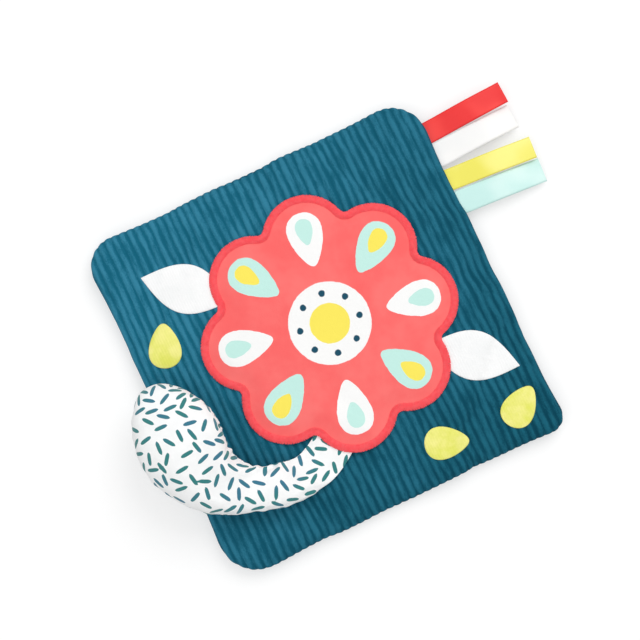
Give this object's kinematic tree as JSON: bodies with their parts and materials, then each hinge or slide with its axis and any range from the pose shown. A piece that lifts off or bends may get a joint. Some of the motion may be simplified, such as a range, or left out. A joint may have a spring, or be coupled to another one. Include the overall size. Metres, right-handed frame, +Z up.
{
  "type": "crinkle sensory paper",
  "caption": "Soft square crinkle toy for babies: corduroy pad with a stitched velour flower, a stuffed curved tail and folded ribbon tags to pull.",
  "frame": {"origin": "middle of the flat underside that the pad lies on", "axes": "+Z up from that underside through the front, +X towards the seam with the ribbons, +Y along the corduroy wales"},
  "size_m": [0.2201, 0.165, 0.0343],
  "materials": {
    "corduroy": "wide-wale cut pile",
    "film": "clear, crinkled",
    "fibre": "loose polyester fibre",
    "velour": "short pile",
    "satin_thread": "satin stitch",
    "white_cloth": "smooth knit",
    "yellow_cloth": "smooth knit",
    "tail_cloth": "white cotton with printed teal dashes",
    "red_satin": "satin",
    "white_satin": "satin",
    "yellow_satin": "satin",
    "mint_satin": "satin"
  },
  "bodies": {
    "pad": {"front_panel": "corduroy", "back_panel": "corduroy", "crinkle_film": "film", "wadding": "fibre", "flower_applique": "velour", "flower_edging": "satin_thread", "lower_leaf_patch": "white_cloth", "upper_leaf_patch": "white_cloth", "left_seed_patch": "yellow_cloth", "bottom_seed_patch": "yellow_cloth", "right_seed_patch": "yellow_cloth", "tail_root_tab": "tail_cloth", "red_ribbon_sewn_end": "red_satin", "white_ribbon_sewn_end": "white_satin", "yellow_ribbon_sewn_end": "yellow_satin", "mint_ribbon_sewn_end": "mint_satin"},
    "tail": {"tail_cover_front": "tail_cloth", "tail_cover_back": "tail_cloth", "tail_filling": "fibre"},
    "red_loop": {"red_ribbon": "red_satin"},
    "white_loop": {"white_ribbon": "white_satin"},
    "yellow_loop": {"yellow_ribbon": "yellow_satin"},
    "mint_loop": {"mint_ribbon": "mint_satin"}
  },
  "joints": [
    {"name": "tail_lift", "type": "hinge", "parent": "pad", "child": "tail", "pos_m": [-0.01873, -0.04578, 0.01083], "axis": [-0.5736, 0.8192, 0], "range_deg": [0, 100]},
    {"name": "red_ribbon_flex", "type": "hinge", "parent": "pad", "child": "red_loop", "pos_m": [0.08357, 0.0631, 0.0046], "axis": [0.0523, -0.9986, 0], "range_deg": [-90, 110], "stiffness_Nm_per_rad": 0.0003},
    {"name": "white_ribbon_flex", "type": "hinge", "parent": "pad", "child": "white_loop", "pos_m": [0.08333, 0.05135, 0.0046], "axis": [0.0436, -0.999, 0], "range_deg": [-90, 110], "stiffness_Nm_per_rad": 0.0003},
    {"name": "yellow_ribbon_flex", "type": "hinge", "parent": "pad", "child": "yellow_loop", "pos_m": [0.08312, 0.0396, 0.0046], "axis": [-0.0698, -0.9976, 0], "range_deg": [-90, 110], "stiffness_Nm_per_rad": 0.0003},
    {"name": "mint_ribbon_flex", "type": "hinge", "parent": "pad", "child": "mint_loop", "pos_m": [0.08284, 0.02785, 0.0046], "axis": [-0.061, -0.9981, 0], "range_deg": [-90, 110], "stiffness_Nm_per_rad": 0.0003}
  ]
}
